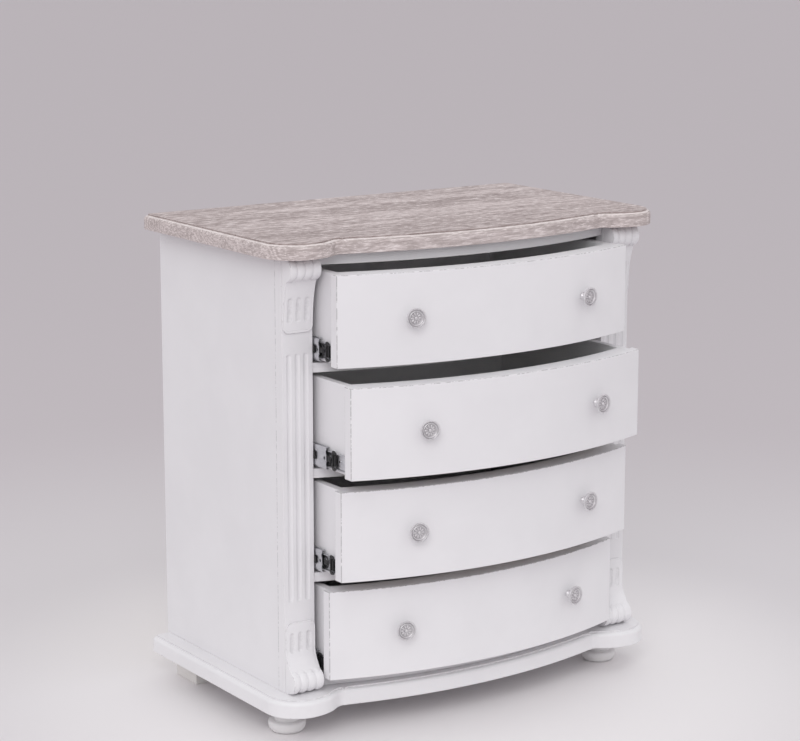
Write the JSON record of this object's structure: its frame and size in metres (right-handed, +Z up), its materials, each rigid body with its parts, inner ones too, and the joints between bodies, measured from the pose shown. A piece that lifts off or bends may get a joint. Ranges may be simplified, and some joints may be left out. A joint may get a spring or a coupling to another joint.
{
  "type": "chest of drawers",
  "caption": "Bow-fronted chest of drawers in white paint with a limed wood top, fluted corner posts, carved brackets and drawers on telescopic slides.",
  "frame": {"origin": "on the floor, under the middle of the whole object's box at rest, with the drawers open as pictured", "axes": "+Z up, the drawers open towards -Y, X across the chest from its left side to its right as seen from the front"},
  "size_m": [0.882, 0.6444, 0.94],
  "materials": {
    "white_paint": "satin white paint, rubbed through to grey along the edges",
    "limed_oak": "limed open-grained wood, matt",
    "raw_board": "cream, matt",
    "drawer_box_finish": "charcoal inside, white outside, matt",
    "antique_pewter": "cast, antique pewter, darkened in the hollows",
    "zinc_steel": "bright zinc plate"
  },
  "bodies": {
    "cabinet": {"top_board": "limed_oak", "base_board": "white_paint", "back_panel": "raw_board", "side_panel_left": "white_paint", "side_panel_right": "white_paint", "front_post_left": "white_paint", "front_post_right": "white_paint", "top_bracket_left": "white_paint", "top_bracket_right": "white_paint", "base_bracket_left": "white_paint", "base_bracket_right": "white_paint", "bun_foot_left": "white_paint", "bun_foot_right": "white_paint", "block_foot_left": "raw_board", "block_foot_right": "raw_board", "bottom_rail": "white_paint", "divider_rail_1": "white_paint", "divider_rail_2": "white_paint", "divider_rail_3": "white_paint", "top_rail": "white_paint", "slide_case_member_1_left": "zinc_steel", "slide_case_member_1_right": "zinc_steel", "slide_case_member_2_left": "zinc_steel", "slide_case_member_2_right": "zinc_steel", "slide_case_member_3_left": "zinc_steel", "slide_case_member_3_right": "zinc_steel", "slide_case_member_4_left": "zinc_steel", "slide_case_member_4_right": "zinc_steel"},
    "drawer_1": {"drawer_front_1": "white_paint", "drawer_box_1": "drawer_box_finish", "knob_1_left": "antique_pewter", "knob_1_right": "antique_pewter", "slide_drawer_member_1_left": "zinc_steel", "slide_drawer_member_1_right": "zinc_steel"},
    "slide_pair_1": {"slide_middle_member_1_left": "zinc_steel", "slide_middle_member_1_right": "zinc_steel"},
    "drawer_2": {"drawer_front_2": "white_paint", "drawer_box_2": "drawer_box_finish", "knob_2_left": "antique_pewter", "knob_2_right": "antique_pewter", "slide_drawer_member_2_left": "zinc_steel", "slide_drawer_member_2_right": "zinc_steel"},
    "slide_pair_2": {"slide_middle_member_2_left": "zinc_steel", "slide_middle_member_2_right": "zinc_steel"},
    "drawer_3": {"drawer_front_3": "white_paint", "drawer_box_3": "drawer_box_finish", "knob_3_left": "antique_pewter", "knob_3_right": "antique_pewter", "slide_drawer_member_3_left": "zinc_steel", "slide_drawer_member_3_right": "zinc_steel"},
    "slide_pair_3": {"slide_middle_member_3_left": "zinc_steel", "slide_middle_member_3_right": "zinc_steel"},
    "drawer_4": {"drawer_front_4": "white_paint", "drawer_box_4": "drawer_box_finish", "knob_4_left": "antique_pewter", "knob_4_right": "antique_pewter", "slide_drawer_member_4_left": "zinc_steel", "slide_drawer_member_4_right": "zinc_steel"},
    "slide_pair_4": {"slide_middle_member_4_left": "zinc_steel", "slide_middle_member_4_right": "zinc_steel"}
  },
  "joints": [
    {"name": "drawer_1_slide", "type": "slide", "parent": "cabinet", "child": "drawer_1", "axis": [0, -1, 0], "range_m": [-0.077, 0.323]},
    {"name": "slide_pair_1_travel", "type": "slide", "parent": "cabinet", "child": "slide_pair_1", "axis": [0, -1, 0], "range_m": [-0.0385, 0.1615]},
    {"name": "drawer_2_slide", "type": "slide", "parent": "cabinet", "child": "drawer_2", "axis": [0, -1, 0], "range_m": [-0.122, 0.278]},
    {"name": "slide_pair_2_travel", "type": "slide", "parent": "cabinet", "child": "slide_pair_2", "axis": [0, -1, 0], "range_m": [-0.061, 0.139]},
    {"name": "drawer_3_slide", "type": "slide", "parent": "cabinet", "child": "drawer_3", "axis": [0, -1, 0], "range_m": [-0.088, 0.312]},
    {"name": "slide_pair_3_travel", "type": "slide", "parent": "cabinet", "child": "slide_pair_3", "axis": [0, -1, 0], "range_m": [-0.044, 0.156]},
    {"name": "drawer_4_slide", "type": "slide", "parent": "cabinet", "child": "drawer_4", "axis": [0, -1, 0], "range_m": [-0.046, 0.354]},
    {"name": "slide_pair_4_travel", "type": "slide", "parent": "cabinet", "child": "slide_pair_4", "axis": [0, -1, 0], "range_m": [-0.023, 0.177]}
  ],
  "couplings": [
    {"joint": "slide_pair_1_travel", "follows": "drawer_1_slide", "ratio": 0.5},
    {"joint": "slide_pair_2_travel", "follows": "drawer_2_slide", "ratio": 0.5},
    {"joint": "slide_pair_3_travel", "follows": "drawer_3_slide", "ratio": 0.5},
    {"joint": "slide_pair_4_travel", "follows": "drawer_4_slide", "ratio": 0.5}
  ]
}
